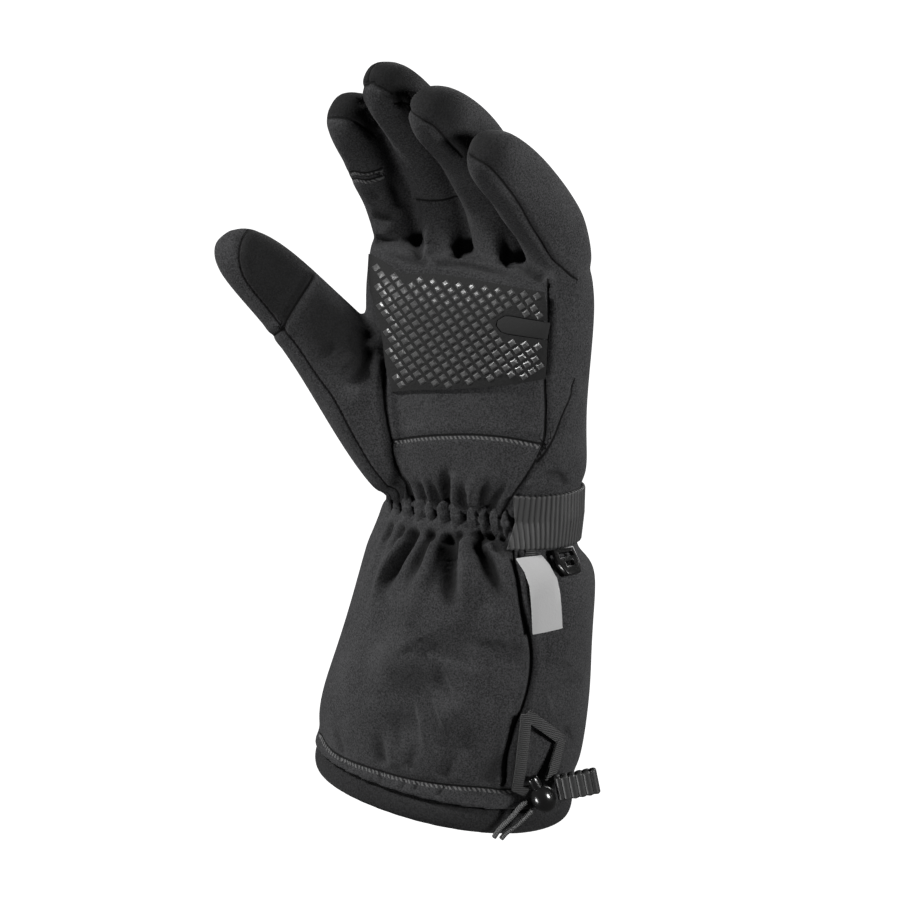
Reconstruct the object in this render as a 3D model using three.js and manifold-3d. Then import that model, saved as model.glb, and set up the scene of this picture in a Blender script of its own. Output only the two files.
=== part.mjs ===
// A padded winter glove for the left hand, with a long gathered cuff, as a hand inside it would fill it.
// Millimetres. The origin is the middle of the cuff's mouth, +Z runs to the fingertips,
// the palm faces -Y, and the thumb points to -X.
import * as THREE from 'three';
import { mergeVertices } from 'three/addons/utils/BufferGeometryUtils.js';
import Module from 'manifold-3d';

const wasm = await Module();
wasm.setup();

// Sizes of the padded shell
const cuffLength = 125; // mouth to wrist seam
const palmLength = 103; // wrist seam to finger roots
const hemWidth = 118;
const hemDepth = 86;
const wristWidth = 88;
const wristDepth = 60;
const wristOffset = 18; // the cuff leans to the little finger's side
const wall = 3.8; // outer fabric, padding and lining
const gap = 0.3; // between sewn pieces
const hemSlope = 0.11; // the mouth's fall towards the little finger
const rootSlope = 0.085; // the finger roots' fall towards the little finger

// Sizes of the fingers and the thumb, and of the palm that carries them
const fingerWidth = 25;
const fingerDepth = 28.5;
const fingerSpace = 0.4; // between neighbours at their roots
const fingerPitch = fingerWidth + fingerSpace;
const fingerWall = 3.4;
const palmWidth = 4 * fingerPitch + 1.4;
const rootDepth = fingerDepth + 7.5; // depth of the hand at the finger roots
const indexLength = 74;
const middleLength = 95;
const ringLength = 92;
const littleLength = 77;
const thumbLength = 122;
const thumbWidth = 30;
const thumbDepth = 28;

// Sizes of the trim
const lowerHemHeight = 11; // the inner layer's part below the gauntlet
const lowerHemTuck = 14; // and its part inside it
const lowerHemWall = 3;
const gripThickness = 1;
const gripHeight = 50;
const gripMargin = 6; // from the finger roots
const tabLength = 20;
const tabHeight = 7;
const strapHeight = 22;
const strapThickness = 1.6;
const loopWidth = 4;
const loopLength = 9;
const loopThickness = 0.9;
const labelWidth = 11.5;
const labelLength = 27.5;
const labelThickness = 0.6;
const clipWidth = 11;
const clipLength = 11.5;
const clipThickness = 2.4;
const clipBar = 1.8;
const tapeWidth = 4.5;
const tapeThickness = 1.2;
const lockWidth = 10.6;
const lockLength = 12.8;
const lockStandOff = 2; // from the hem, which bulges over it
const lockFloor = 2.2;
const buttonWidth = 5;
const buttonRise = 4;
const buttonRound = 0.8;
const plungerTravel = 2.5;
const pullLength = 17;
const pullHeight = 9.5;
const pullDepth = 4.6;
const pullThickness = 1.3;
const cordDiameter = 2.2;

const degree = Math.PI / 180;

const clothBlack = new THREE.MeshStandardMaterial({ color: 0x1b1c1e, roughness: 0.9, metalness: 0 });
const rubberBlack = new THREE.MeshStandardMaterial({ color: 0x242526, roughness: 0.45, metalness: 0 });
const webbingBlack = new THREE.MeshStandardMaterial({ color: 0x2a2b2d, roughness: 0.8, metalness: 0 });
const plasticBlack = new THREE.MeshStandardMaterial({ color: 0x111112, roughness: 0.4, metalness: 0 });
const labelWhite = new THREE.MeshStandardMaterial({ color: 0xe8e8e6, roughness: 0.75, metalness: 0 });

// Rows of numbers under named columns
function table(columns, rows) {
  return rows.map((row) => Object.fromEntries(columns.map((name, k) => [name, row[k]])));
}

// A column's value between its rows, smooth through each of them and never past them
function between(rows, key, column, at) {
  const last = rows.length - 2;
  const k = THREE.MathUtils.clamp(rows.findLastIndex((row) => row[key] <= at), 0, last);
  const slope = (n) => {
    if (n < 0 || n > last) return 0;
    return (rows[n + 1][column] - rows[n][column]) / (rows[n + 1][key] - rows[n][key]);
  };
  const tangent = (n) => {
    const [before, after] = [slope(n - 1), slope(n)];
    return before * after <= 0 ? 0 : (2 * before * after) / (before + after);
  };
  const span = rows[k + 1][key] - rows[k][key];
  const t = THREE.MathUtils.clamp((at - rows[k][key]) / span, 0, 1);
  return (
    rows[k][column] * (2 * t ** 3 - 3 * t ** 2 + 1) +
    tangent(k) * span * (t ** 3 - 2 * t ** 2 + t) +
    rows[k + 1][column] * (3 * t ** 2 - 2 * t ** 3) +
    tangent(k + 1) * span * (t ** 3 - t ** 2)
  );
}

// Heights are shares of the cuff's length. The other columns say how far the half-size towards
// each side has gone from the wrist's (0) to the hem's (1).
const cuffSections = table(
  ['height', 'little', 'thumb', 'palm', 'back'],
  [
    [0.0, 0.9, 1.1, 0.92, 0.92],
    [0.085, 0.93, 1.16, 0.97, 0.97],
    [0.15, 0.78, 1.02, 0.8, 0.8],
    [0.2, 0.95, 1.1, 0.95, 1.0],
    [0.29, 0.98, 1.04, 1.0, 1.02],
    [0.4, 1.02, 0.82, 1.05, 1.05],
    [0.56, 0.93, 0.52, 0.98, 0.95],
    [0.7, 0.84, 0.33, 0.8, 0.85],
    [0.8, 0.7, 0.25, 0.62, 0.68],
    [0.855, 0.32, 0.2, 0.46, 0.3],
    [0.88, 0.02, 0.14, 0.34, 0.02],
    [1.0, 0.0, 0.0, -0.25, 0.0],
  ],
);

// Heights are shares of the palm's length. The little finger's and the thumb's side go from the wrist's
// half-width (0) to the palm's (1), the palm and the back from its half-depth (0) to the roots' (1).
const handSections = table(
  ['height', 'little', 'thumb', 'palm', 'back'],
  [
    [0.07, 0.0, 0.05, 0.12, 0.0],
    [0.105, 0.03, 0.1, 0.05, -0.01],
    [0.15, 0.4, 0.2, 0.02, -0.08],
    [0.22, 0.5, 0.3, 0.0, 0.03],
    [0.36, 0.42, 0.4, 0.05, 0.22],
    [0.52, 0.55, 0.7, 0.15, 0.3],
    [0.68, 0.74, 0.9, 0.25, 0.38],
    [0.8, 0.86, 0.95, 0.35, 0.45],
    [0.9, 0.92, 0.95, 0.62, 0.62],
    [1.0, 0.86, 0.9, 1.05, 0.95],
  ],
);

// Valleys of the gathers under and over the wrist elastic: angle and half-width in degrees, depth as
// a share of the distance to the middle, and how far each runs down the cuff and up the palm as shares
// of their lengths
const gathers = table(
  ['angle', 'width', 'depth', 'down', 'up'],
  [
    [-147, 4, 0.06, 0.3, 0.12],
    [-134, 4, 0.07, 0.35, 0.16],
    [-122, 4, 0.09, 0.5, 0.2],
    [-109, 4, 0.09, 0.38, 0.22],
    [-97, 4, 0.07, 0.3, 0.18],
    [-85, 5, 0.12, 0.6, 0.24],
    [-72, 4, 0.1, 0.3, 0.2],
    [-61, 4, 0.09, 0.5, 0.16],
    [-51, 3, 0.05, 0.25, 0.1],
  ],
);

// Broad soft folds further down the cuff, with their middle and reach as shares of its length
const cuffFolds = table(
  ['angle', 'lean', 'width', 'depth', 'middle', 'reach'],
  [
    [-104, 10, 9, 0.045, 0.62, 0.3],
    [-66, -12, 10, 0.05, 0.52, 0.34],
    [-132, 8, 8, 0.035, 0.5, 0.25],
    [-40, 6, 9, 0.04, 0.3, 0.24],
    [20, 8, 12, 0.03, 0.55, 0.3],
    [75, -8, 13, 0.035, 0.5, 0.3],
    [130, 6, 12, 0.03, 0.6, 0.3],
  ],
);

const cuffHeights = cuffSections.map((row) => ({
  height: row.height * cuffLength,
  little: (wristWidth + (hemWidth - wristWidth) * row.little) / 2,
  thumb: (wristWidth + (hemWidth - wristWidth) * row.thumb) / 2,
  palm: (wristDepth + (hemDepth - wristDepth) * row.palm) / 2,
  back: (wristDepth + (hemDepth - wristDepth) * row.back) / 2,
}));
const handHeights = handSections.map((row) => ({
  height: cuffLength + row.height * palmLength,
  little: (wristWidth + (palmWidth - wristWidth) * row.little) / 2,
  thumb: (wristWidth + (palmWidth - wristWidth) * row.thumb) / 2,
  palm: (wristDepth + (rootDepth - wristDepth) * row.palm) / 2,
  back: (wristDepth + (rootDepth - wristDepth) * row.back) / 2,
}));
const skinSections = [...cuffHeights, ...handHeights];

function bell(distance) {
  return Math.exp(-distance * distance);
}

function fadeOut(share) {
  return share >= 1 ? 0 : (1 - share * share) ** 2;
}

function turnedTo(angle, other) {
  return THREE.MathUtils.euclideanModulo(angle - other + 180, 360) - 180;
}

// Share of the half-size that the folds take away
function foldDepth(angle, height) {
  let depth = 0;
  for (const valley of gathers) {
    const reach = height < cuffLength ? valley.down * cuffLength : valley.up * palmLength;
    const away = Math.abs(height - cuffLength) / reach;
    depth += valley.depth * bell(turnedTo(angle, valley.angle) / valley.width) * fadeOut(away);
  }
  for (const fold of cuffFolds) {
    const along = (height / cuffLength - fold.middle) / fold.reach;
    const across = turnedTo(angle, fold.angle + fold.lean * along) / fold.width;
    depth += fold.depth * bell(across) * fadeOut(Math.abs(along));
  }
  return depth;
}

function slopeAt(height) {
  const up = height / cuffLength;
  if (up < 1) return -hemSlope * (1 - THREE.MathUtils.smoothstep(up, 0, 0.85));
  return -rootSlope * THREE.MathUtils.smoothstep((height - cuffLength) / palmLength, 0.3, 1);
}

// A point of the shell's skin. The angle starts at the little finger's side and runs over the back
// of the hand.
function skinPoint(angle, height, inset = 0, folded = true) {
  const size = (side) => between(skinSections, 'height', side, height);
  const upPalm = THREE.MathUtils.smoothstep(height, cuffLength, cuffLength + palmLength);
  const flatness = 2 / (2.1 + 0.5 * upPalm);
  const [across, deep] = [Math.cos(angle * degree), Math.sin(angle * degree)];
  const shrink = folded ? 1 - foldDepth(angle, height) : 1;
  const halfWidth = (size(across > 0 ? 'little' : 'thumb') - inset) * shrink;
  const halfDepth = (size(deep > 0 ? 'back' : 'palm') - inset) * shrink;
  const x = Math.sign(across) * Math.abs(across) ** flatness * halfWidth;
  const y = Math.sign(deep) * Math.abs(deep) ** flatness * halfDepth;
  const middle = wristOffset * Math.min(1, height / cuffLength);
  return new THREE.Vector3(middle + x, y, height + slopeAt(height) * x);
}

// Angles round the shell, closer together on the palm's side, where the gathers are
const palmStart = -154;
const palmEnd = -42;
const palmSteps = 28;
const backSteps = 24;
const skinAngles = [];
const backEnd = palmStart + 360;
for (let k = 0; k < palmSteps; k++) skinAngles.push(palmStart + ((palmEnd - palmStart) * k) / palmSteps);
for (let k = 0; k < backSteps; k++) skinAngles.push(palmEnd + ((backEnd - palmEnd) * k) / backSteps);

function evenAngles(count) {
  return Array.from({ length: count }, (_, k) => (360 * k) / count);
}

function skinRing(angles, height, inset, folded) {
  return angles.map((angle) => skinPoint(angle, height, inset, folded));
}

// A closed body skinned over rings of points. A single point in the chain closes an end,
// and a looped chain runs up outside and down inside.
function skinBody(chain, looped = false) {
  const positions = [];
  const index = [];
  const rings = chain.map((ring) => {
    const points = Array.isArray(ring) ? ring : [ring];
    return points.map((point) => positions.push(point.x, point.y, point.z) / 3 - 1);
  });
  const bands = looped ? rings.length : rings.length - 1;
  for (let k = 0; k < bands; k++) {
    const low = rings[k];
    const high = rings[(k + 1) % rings.length];
    const count = Math.max(low.length, high.length);
    for (let n = 0; n < count; n++) {
      const next = (n + 1) % count;
      if (high.length === 1) index.push(low[n], low[next], high[0]);
      else if (low.length === 1) index.push(low[0], high[next], high[n]);
      else index.push(low[n], low[next], high[next], low[n], high[next], high[n]);
    }
  }
  const geometry = new THREE.BufferGeometry();
  geometry.setAttribute('position', new THREE.Float32BufferAttribute(positions, 3));
  geometry.setIndex(index);
  geometry.computeVertexNormals();
  return geometry;
}

function centreOf(ring) {
  return ring.reduce((sum, point) => sum.add(point), new THREE.Vector3()).divideScalar(ring.length);
}

function solidBody(rings) {
  return skinBody([centreOf(rings[0]), ...rings, centreOf(rings.at(-1))]);
}

// A plate laid over a surface, from its lift above it to its lift and thickness.
// place gives the surface's point for u and v from 0 to 1, and the distance above it.
function plate(place, columns, rows, lift, thickness) {
  const positions = [];
  const index = [];
  const grid = (height) => {
    const lines = [];
    for (let j = 0; j <= rows; j++) {
      const line = [];
      for (let i = 0; i <= columns; i++) {
        const point = place(i / columns, j / rows, height);
        line.push(positions.push(point.x, point.y, point.z) / 3 - 1);
      }
      lines.push(line);
    }
    return lines;
  };
  const quad = (a, b, c, d) => index.push(a, b, c, a, c, d);
  const top = grid(lift + thickness);
  const under = grid(lift);
  for (let j = 0; j < rows; j++) {
    for (let i = 0; i < columns; i++) {
      quad(top[j][i], top[j][i + 1], top[j + 1][i + 1], top[j + 1][i]);
      quad(under[j][i], under[j + 1][i], under[j + 1][i + 1], under[j][i + 1]);
    }
    quad(under[j][0], top[j][0], top[j + 1][0], under[j + 1][0]);
    quad(top[j][columns], under[j][columns], under[j + 1][columns], top[j + 1][columns]);
  }
  for (let i = 0; i < columns; i++) {
    quad(under[0][i], under[0][i + 1], top[0][i + 1], top[0][i]);
    quad(top[rows][i], top[rows][i + 1], under[rows][i + 1], under[rows][i]);
  }
  const geometry = new THREE.BufferGeometry();
  geometry.setAttribute('position', new THREE.Float32BufferAttribute(positions, 3));
  geometry.setIndex(index);
  geometry.computeVertexNormals();
  return geometry;
}

// A flat band along a path of { point, normal }, its width across the path and the normal
function band(path, width, thickness) {
  const rings = path.map(({ point, normal }, k) => {
    const ahead = path[Math.min(k + 1, path.length - 1)].point;
    const behind = path[Math.max(k - 1, 0)].point;
    const along = ahead.clone().sub(behind).normalize();
    const up = normal.clone().addScaledVector(along, -normal.dot(along)).normalize();
    const side = along.clone().cross(up);
    const corner = (across, rise) =>
      point.clone().addScaledVector(side, (across * width) / 2).addScaledVector(up, (rise * thickness) / 2);
    return [corner(-1, -1), corner(-1, 1), corner(1, 1), corner(1, -1)];
  });
  return solidBody(rings);
}

function toSolid(geometry) {
  const bare = geometry.clone();
  bare.deleteAttribute('normal');
  if (bare.attributes.uv) bare.deleteAttribute('uv');
  const merged = mergeVertices(bare, 1e-4);
  return new wasm.Manifold(
    new wasm.Mesh({
      numProp: 3,
      vertProperties: new Float32Array(merged.attributes.position.array),
      triVerts: new Uint32Array(merged.index.array),
    }),
  );
}

function toGeometry(solid) {
  const mesh = solid.getMesh();
  const geometry = new THREE.BufferGeometry();
  geometry.setAttribute('position', new THREE.Float32BufferAttribute(mesh.vertProperties, 3));
  geometry.setIndex(Array.from(mesh.triVerts));
  geometry.computeVertexNormals();
  return geometry;
}

const glove = new THREE.Group();

function addPiece(name, geometry, material) {
  const mesh = new THREE.Mesh(geometry, material);
  mesh.name = name;
  glove.add(mesh);
  return mesh;
}

// Cuff: the outer gauntlet, in shares of its height from the lower hem to the wrist seam
const gatherRoom = 3.2; // the lining stays this much further in behind the gathers
const outerCuffShares = [
  0, 0.03, 0.07, 0.11, 0.18, 0.265, 0.375, 0.495, 0.615, 0.725, 0.79, 0.83, 0.855, 0.9, 0.955, 1,
];
const innerCuffShares = [1, 0.89, 0.725, 0.4, 0];

function liningInset(height) {
  const near = 1 - Math.min(1, Math.abs(height - cuffLength) / (0.5 * cuffLength));
  return wall + gatherRoom * near;
}

function buildGauntlet() {
  const heightAt = (share) => THREE.MathUtils.lerp(lowerHemHeight, cuffLength - gap / 2, share);
  const outer = outerCuffShares.map((share) => skinRing(skinAngles, heightAt(share)));
  const inner = innerCuffShares.map((share) => {
    return skinRing(skinAngles, heightAt(share), liningInset(heightAt(share)), false);
  });
  return skinBody([...outer, ...inner], true);
}

// Inner cuff: shows below the gauntlet as a soft roll and is tucked into it. The roll's insets
// are shares of its wall.
const hemRoll = table(
  ['rise', 'inset'],
  [
    [0.0, 0.73],
    [0.3, 0.2],
    [0.7, 0.23],
    [1.0, 0.53],
  ],
);

function buildInnerCuff() {
  const angles = evenAngles(36);
  const shoulder = lowerHemHeight - gap;
  const tuckTop = lowerHemHeight + lowerHemTuck;
  const tucked = liningInset(tuckTop) + gap * 2;
  const inside = tucked + lowerHemWall;
  const ring = (height, inset) => skinRing(angles, height, inset, false);
  return skinBody(
    [
      ...hemRoll.map((row) => ring(row.rise * shoulder, row.inset * lowerHemWall)),
      ring(shoulder, tucked),
      ring(tuckTop, tucked + 1),
      ring(tuckTop, inside + 1),
      ring(shoulder, inside),
      ring(0, inside),
    ],
    true,
  );
}

// Fingers stand on the sloped top of the hand, each in its own lane, and curl towards the palm.
const fingers = table(
  ['name', 'lane', 'length', 'rootCurl', 'tipCurl', 'drift', 'width', 'depth'],
  [
    ['index_finger', -1.5, indexLength, 30, 49, 0.02, 0.96, 0.96],
    ['middle_finger', -0.5, middleLength, 16, 64, 0.02, 0.98, 0.98],
    ['ring_finger', 0.5, ringLength, 18, 73, -0.02, 0.98, 1.04],
    ['little_finger', 1.5, littleLength, 41, 60, -0.07, 0.95, 0.98],
  ],
);
const fingerSections = table(
  ['along', 'width', 'palm', 'back'],
  [
    [0.0, 1.0, 1.0, 1.0],
    [0.15, 1.0, 0.98, 1.05],
    [0.25, 0.99, 0.93, 1.08],
    [0.32, 0.98, 0.88, 1.09],
    [0.42, 0.97, 0.95, 1.08],
    [0.54, 0.96, 0.93, 1.04],
    [0.62, 0.94, 0.85, 1.01],
    [0.72, 0.92, 0.88, 0.95],
    [0.84, 0.87, 0.85, 0.83],
    [0.92, 0.76, 0.74, 0.7],
    [0.975, 0.52, 0.5, 0.46],
    [1.0, 0.24, 0.22, 0.2],
  ],
);
const rootHeight = cuffLength + palmLength;
const fingerSides = 16;
const knuckleShare = 0.15; // where a finger has left the straight start at its root
const rootSetback = 2; // the fingers stand this far towards the back of the hand

function rootPlane(x) {
  return rootHeight + slopeAt(rootHeight) * (x - wristOffset);
}

// The finger's middle line, worked out by small steps of its bend
function fingerLine(finger) {
  const steps = 60;
  const x = wristOffset + finger.lane * fingerPitch;
  const stepLength = finger.length / steps;
  const line = [];
  const point = new THREE.Vector3(x, rootSetback, rootPlane(x));
  for (let k = 0; k <= steps; k++) {
    const share = k / steps;
    const bend = finger.rootCurl + (finger.tipCurl - finger.rootCurl) * share;
    const curl = bend * Math.min(1, share / knuckleShare) * degree;
    line.push({ share, curl, point: point.clone() });
    point.add(new THREE.Vector3(
      (finger.drift * fingerPitch) / steps,
      -Math.sin(curl) * stepLength,
      Math.cos(curl) * stepLength,
    ));
  }
  return (share) => {
    const at = THREE.MathUtils.clamp(share, 0, 1) * steps;
    const k = Math.min(steps - 1, Math.floor(at));
    return {
      point: line[k].point.clone().lerp(line[k + 1].point, at - k),
      curl: THREE.MathUtils.lerp(line[k].curl, line[k + 1].curl, at - k),
    };
  };
}

function fingerRing(finger, line, share, inset) {
  const { point, curl } = line(share);
  const size = (column) => between(fingerSections, 'along', column, share);
  const corner = 2 / 2.5;
  return evenAngles(fingerSides).map((angle) => {
    const [across, deep] = [Math.cos(angle * degree), Math.sin(angle * degree)];
    const halfDepth = (size(deep > 0 ? 'back' : 'palm') * finger.depth * fingerDepth) / 2 - inset;
    const halfWidth = (size('width') * finger.width * fingerWidth) / 2 - inset;
    const x = Math.sign(across) * Math.abs(across) ** corner * halfWidth;
    const y = Math.sign(deep) * Math.abs(deep) ** corner * halfDepth;
    return point.clone().add(new THREE.Vector3(x, y * Math.cos(curl), y * Math.sin(curl)));
  });
}

function onPlane(ring, lift) {
  return ring.map((point) => new THREE.Vector3(point.x, point.y, rootPlane(point.x) + lift));
}

const innerFingerShares = [0.92, 0.85, 0.74, 0.62, 0.5, 0.38, 0.26, 0.15];

function buildFinger(finger) {
  const line = fingerLine(finger);
  const outerShares = fingerSections.slice(1).map((row) => row.along);
  const outerRoot = fingerRing(finger, line, 0, 0);
  const innerRoot = fingerRing(finger, line, 0, fingerWall);
  const innerTip = 1 - (fingerWall * 1.3) / finger.length;
  return skinBody([
    line(innerTip).point,
    ...innerFingerShares.map((share) => fingerRing(finger, line, share, fingerWall)),
    onPlane(innerRoot, gap),
    onPlane(outerRoot, gap),
    ...outerShares.map((share) => fingerRing(finger, line, share, 0)),
    line(1).point,
  ]);
}

// The channel that a finger's hollow continues through the top of the hand
function fingerChannel(finger) {
  const line = fingerLine(finger);
  const ring = fingerRing(finger, line, 0, fingerWall);
  return solidBody([onPlane(ring, -4 * wall), onPlane(ring, wall)]);
}

// Thumb: a bent tube that springs from the ball of the hand
const thumbRoot = new THREE.Vector3(
  wristOffset - 0.235 * palmWidth,
  -0.36 * rootDepth,
  cuffLength + 0.14 * palmLength,
);
const thumbAim = new THREE.Vector3(-0.56, -0.32, 0.79).normalize();
const thumbPad = new THREE.Vector3(0.62, -0.78, 0.09);
const thumbBend = 0.05; // the middle line's bow away from the hand, as a share of the length
const thumbSections = table(
  ['along', 'width', 'depth'],
  [
    [0.0, 1.2, 1.1],
    [0.14, 1.36, 1.16],
    [0.3, 1.34, 1.12],
    [0.44, 1.22, 1.04],
    [0.58, 1.08, 0.98],
    [0.7, 1.01, 0.94],
    [0.8, 0.96, 0.92],
    [0.88, 0.88, 0.84],
    [0.94, 0.74, 0.7],
    [0.98, 0.5, 0.48],
    [1.0, 0.24, 0.22],
  ],
);

function thumbPlace(share) {
  const side = thumbAim.clone().cross(thumbPad).normalize();
  const bow = 4 * share * (1 - share) * thumbBend * thumbLength;
  return thumbRoot.clone().addScaledVector(thumbAim, share * thumbLength).addScaledVector(side, bow);
}

function thumbRing(share, inset) {
  const middle = thumbPlace(share);
  const size = (column) => between(thumbSections, 'along', column, share);
  const pad = thumbPad.clone().addScaledVector(thumbAim, -thumbPad.dot(thumbAim)).normalize();
  const side = pad.clone().cross(thumbAim).normalize();
  const corner = 2 / 2.3;
  const halfWidth = (size('width') * thumbWidth) / 2 - inset;
  const halfDepth = (size('depth') * thumbDepth) / 2 - inset;
  return evenAngles(fingerSides).map((angle) => {
    const [across, deep] = [Math.cos(angle * degree), Math.sin(angle * degree)];
    const x = Math.sign(across) * Math.abs(across) ** corner * halfWidth;
    const y = Math.sign(deep) * Math.abs(deep) ** corner * halfDepth;
    return middle.clone().addScaledVector(side, x).addScaledVector(pad, y);
  });
}

const innerThumbShares = [0.9, 0.8, 0.66, 0.5, 0.34, 0.2];

function thumbHollow(from) {
  const shares = [...innerThumbShares.filter((share) => share > from), from].reverse();
  const rings = shares.map((share) => thumbRing(share, fingerWall));
  const tip = thumbPlace(1 - (fingerWall * 1.3) / thumbLength);
  return skinBody([centreOf(rings[0]), ...rings, tip]);
}

// The hand: outer skin, less its hollow and the ways into the fingers and the thumb
const handShares = [0.03, 0.07, 0.105, 0.15, 0.21, 0.3, 0.42, 0.56, 0.7, 0.8, 0.88, 0.945];
const hollowShares = [0.06, 0.2, 0.4, 0.6, 0.76, 0.88];

function handRing(angles, share, inset, folded = true) {
  return skinRing(angles, cuffLength + share * palmLength, inset, folded);
}

function handSkin(inflate) {
  const bottom = skinRing(skinAngles, cuffLength + gap / 2, -inflate);
  const top = skinRing(skinAngles, rootHeight, -inflate);
  return [bottom, ...handShares.map((share) => handRing(skinAngles, share, -inflate)), top];
}

function buildHand() {
  const angles = evenAngles(28);
  const bottom = skinRing(angles, cuffLength - wall, liningInset(cuffLength), false);
  const rings = hollowShares.map((share) => {
    return handRing(angles, share, liningInset(cuffLength + share * palmLength), false);
  });
  const roof = handRing(angles, 1 - wall / palmLength, wall * 1.6, false);
  let hand = toSolid(solidBody(handSkin(0)));
  hand = hand.subtract(toSolid(solidBody([bottom, ...rings, roof])));
  for (const finger of fingers) hand = hand.subtract(toSolid(fingerChannel(finger)));
  return toGeometry(hand.subtract(toSolid(thumbHollow(0.08))));
}

function buildThumb() {
  const rings = thumbSections.map((row) => thumbRing(row.along, 0));
  const outer = toSolid(skinBody([centreOf(rings[0]), ...rings, thumbPlace(1)]));
  const tube = outer.subtract(toSolid(thumbHollow(0.02)));
  const clear = toSolid(solidBody(handSkin(gap)));
  const pieces = tube.subtract(clear).decompose();
  return toGeometry(pieces.sort((a, b) => b.volume() - a.volume())[0]);
}

// Places on the outside of the shell, with the soft folds left out
function skinNormal(angle, height, step = 2) {
  const around = skinPoint(angle + step, height, 0, false).sub(skinPoint(angle - step, height, 0, false));
  const upward = skinPoint(angle, height + step, 0, false).sub(skinPoint(angle, height - step, 0, false));
  return around.cross(upward).normalize();
}

function overSkin(angle, height, lift) {
  return skinPoint(angle, height, 0, false).addScaledVector(skinNormal(angle, height), lift);
}

// A patch's points on the skin, from its middle, its size in millimetres and its tilt.
// It can be rounded at its first end.
function patchPlace(angle, height, width, length, tilt = 0, rounded = false) {
  const [before, after] = [-1, 1].map((turn) => skinPoint(angle + turn, height, 0, false));
  const perDegree = before.distanceTo(after) / 2;
  return (u, v, lift) => {
    const fromEnd = Math.min(1, (u * width) / (length / 2));
    const narrowing = rounded ? Math.max(0.3, Math.sqrt(1 - (1 - fromEnd) ** 2)) : 1;
    const [x, y] = [(u - 0.5) * width, (v - 0.5) * length * narrowing];
    const [across, upward] = [
      x * Math.cos(tilt * degree) - y * Math.sin(tilt * degree),
      x * Math.sin(tilt * degree) + y * Math.cos(tilt * degree),
    ];
    return overSkin(angle + across / perDegree, height + upward, lift);
  };
}

// Palm patch: its side edges are angles round the hand, at shares of its height
const trimLift = gap + 0.25; // clears the facets of the skin under a plate
const gripTop = rootHeight - gripMargin;
const gripSkew = 0.24; // the lower edge's rise to the little finger's side, as a share of the height
const gripEdges = table(
  ['rise', 'thumb', 'little'],
  [
    [0.0, -119, -32],
    [0.4, -121, -33],
    [0.6, -127, -34],
    [0.8, -138, -36],
    [1.0, -148, -40],
  ],
);
const tabAngle = -49;
const tabTilt = -4;
const tabRise = 0.66; // share of the patch's height

function gripPlace(u, v, lift) {
  const edge = (side) => between(gripEdges, 'rise', side, v);
  const low = gripTop - gripHeight * (1 - gripSkew * u);
  const dip = gripHeight * (0.06 * bell((u - 0.36) / 0.12) + 0.05 * u);
  const angle = THREE.MathUtils.lerp(edge('thumb'), edge('little'), u);
  return overSkin(angle, low + v * (gripTop - dip - low), lift);
}

function tabPlace(margin) {
  const height = gripTop - gripHeight * (1 - tabRise);
  return patchPlace(tabAngle, height, tabLength + 2 * margin, tabHeight + 2 * margin, tabTilt, true);
}

function buildGrip() {
  const sheet = toSolid(plate(gripPlace, 17, 8, trimLift, gripThickness));
  const notch = toSolid(plate(tabPlace(gap), 10, 2, trimLift / 2, 2 * gripThickness));
  const rings = thumbSections.map((row) => thumbRing(row.along, -2 * gap));
  const thumb = toSolid(skinBody([centreOf(rings[0]), ...rings, thumbPlace(1)]));
  const pieces = sheet.subtract(notch).subtract(thumb).decompose();
  return toGeometry(pieces.sort((a, b) => b.volume() - a.volume())[0]);
}

// Wrist strap: from the palm's outer seam round the back of the wrist
const strapStart = -46;
const strapEnd = 180;
const strapBottom = cuffLength - 0.52 * strapHeight;

function strapPlace(u, v, lift) {
  return overSkin(THREE.MathUtils.lerp(strapStart, strapEnd, u), strapBottom + v * strapHeight, lift);
}

// Trim under the strap, from the seam towards the back of the hand
const loopAngle = -31;
const labelAngle = -29;
const labelTilt = 8;
const labelDrop = 3;
const clipAngle = -10;
const clipLift = 1.4;
const clipDrop = 0.8; // keeps its tilted top edge clear of the strap
const underStrap = strapBottom - gap;
const loopHeight = underStrap - loopLength / 2;
const labelHeight = underStrap - labelDrop - labelLength / 2;
const labelLift = trimLift + loopThickness + 2 * gap;

// A frame on the skin: x round the glove, y up it and z out of it
function skinFrame(angle, height, lift, step) {
  const out = skinNormal(angle, height, step);
  const around = new THREE.Vector3(0, 0, 1).cross(out).normalize();
  const frame = new THREE.Matrix4().makeBasis(around, out.clone().cross(around), out);
  return frame.setPosition(skinPoint(angle, height, 0, false).addScaledVector(out, lift));
}

// Clip: a tapered plate with two slots and three cross bars
function buildClip() {
  const half = clipWidth / 2;
  const outline = new THREE.Shape();
  outline.moveTo(-half, clipLength / 2);
  outline.lineTo(-half, -clipLength * 0.1);
  outline.lineTo(-half * 0.62, -clipLength / 2);
  outline.lineTo(half * 0.62, -clipLength / 2);
  outline.lineTo(half, -clipLength * 0.1);
  outline.lineTo(half, clipLength / 2);
  outline.closePath();
  const slotHeight = (clipLength - 4 * clipBar) / 2;
  for (const k of [0, 1]) {
    const top = clipLength / 2 - clipBar - k * (slotHeight + clipBar);
    const reach = half - clipBar * (k + 1) * 0.9;
    const slot = new THREE.Path();
    slot.moveTo(-reach, top);
    slot.lineTo(reach, top);
    slot.lineTo(reach, top - slotHeight);
    slot.lineTo(-reach, top - slotHeight);
    slot.closePath();
    outline.holes.push(slot);
  }
  return new THREE.ExtrudeGeometry(outline, { depth: clipThickness, bevelEnabled: false });
}

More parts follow.
